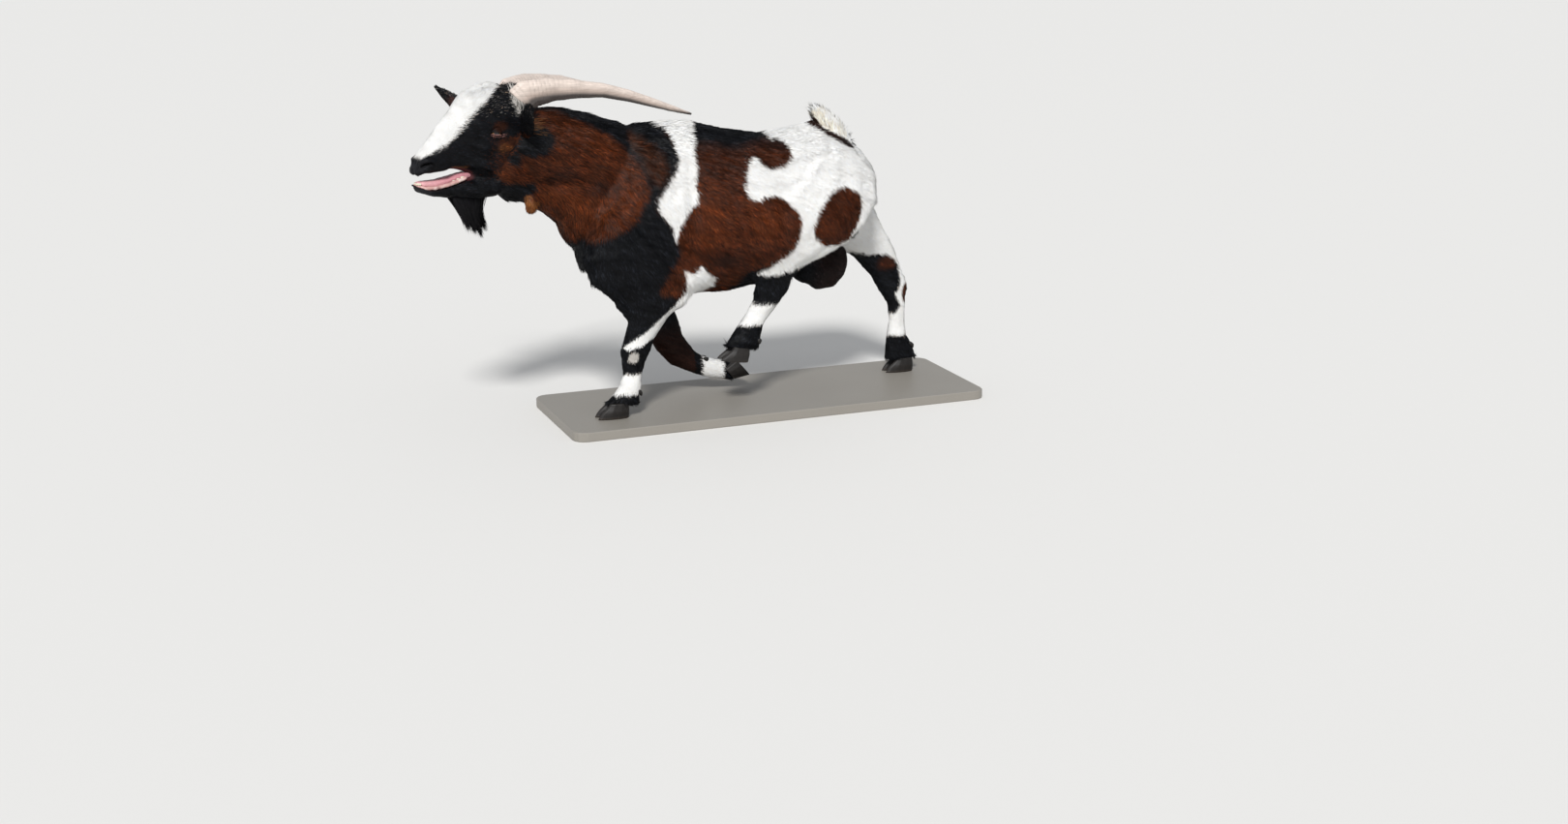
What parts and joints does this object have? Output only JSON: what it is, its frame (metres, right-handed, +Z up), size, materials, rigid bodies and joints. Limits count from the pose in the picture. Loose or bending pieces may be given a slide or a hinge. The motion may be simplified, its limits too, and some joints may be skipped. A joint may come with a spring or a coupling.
{
  "type": "dwarf goat buck",
  "caption": "Life-size still model of a small horned, bearded goat in mid-stride, head low and mouth open, on a plain flat base.",
  "frame": {"origin": "on the floor, under the middle of the whole model's box", "axes": "+Z up, the goat faces -X, its left side is towards -Y"},
  "size_m": [1.131, 0.3288, 0.6675],
  "materials": {
    "coat_brown": "short flat chestnut brown hair with a soft sheen",
    "coat_black": "short glossy black hair",
    "coat_white": "short white hair",
    "horn": "pale ringed horn, dark beneath and at the tip",
    "claw": "dull black hoof horn",
    "eyeball": "wet amber eye with a level dark pupil",
    "tongue": "moist pink",
    "teeth": "ivory teeth in pale gum",
    "board": "painted board, satin warm grey"
  },
  "bodies": {
    "root": {"beard": "coat_black", "ear_left": "coat_black", "ear_right": "coat_black", "eye_left": "eyeball", "eye_right": "eyeball", "front_left_cannon": "coat_white", "front_left_claw_inner": "claw", "front_left_claw_outer": "claw", "front_left_forearm": "coat_black", "front_left_shoulder": "coat_black", "front_right_cannon": "coat_white", "front_right_claw_inner": "claw", "front_right_claw_outer": "claw", "front_right_forearm": "coat_black", "front_right_shoulder": "coat_black", "head": "coat_black", "hind_left_cannon": "coat_white", "hind_left_claw_inner": "claw", "hind_left_claw_outer": "claw", "hind_left_gaskin": "coat_black", "hind_left_thigh": "coat_white", "hind_right_cannon": "coat_white", "hind_right_claw_inner": "claw", "hind_right_claw_outer": "claw", "hind_right_gaskin": "coat_black", "hind_right_thigh": "coat_white", "horn_left": "horn", "horn_right": "horn", "lower_jaw": "coat_black", "lower_teeth": "teeth", "neck": "coat_brown", "scrotum": "coat_black", "stand_base": "board", "tail": "coat_white", "tongue": "tongue", "trunk": "coat_brown", "wattle_left": "coat_brown", "wattle_right": "coat_brown"}
  },
  "joints": []
}
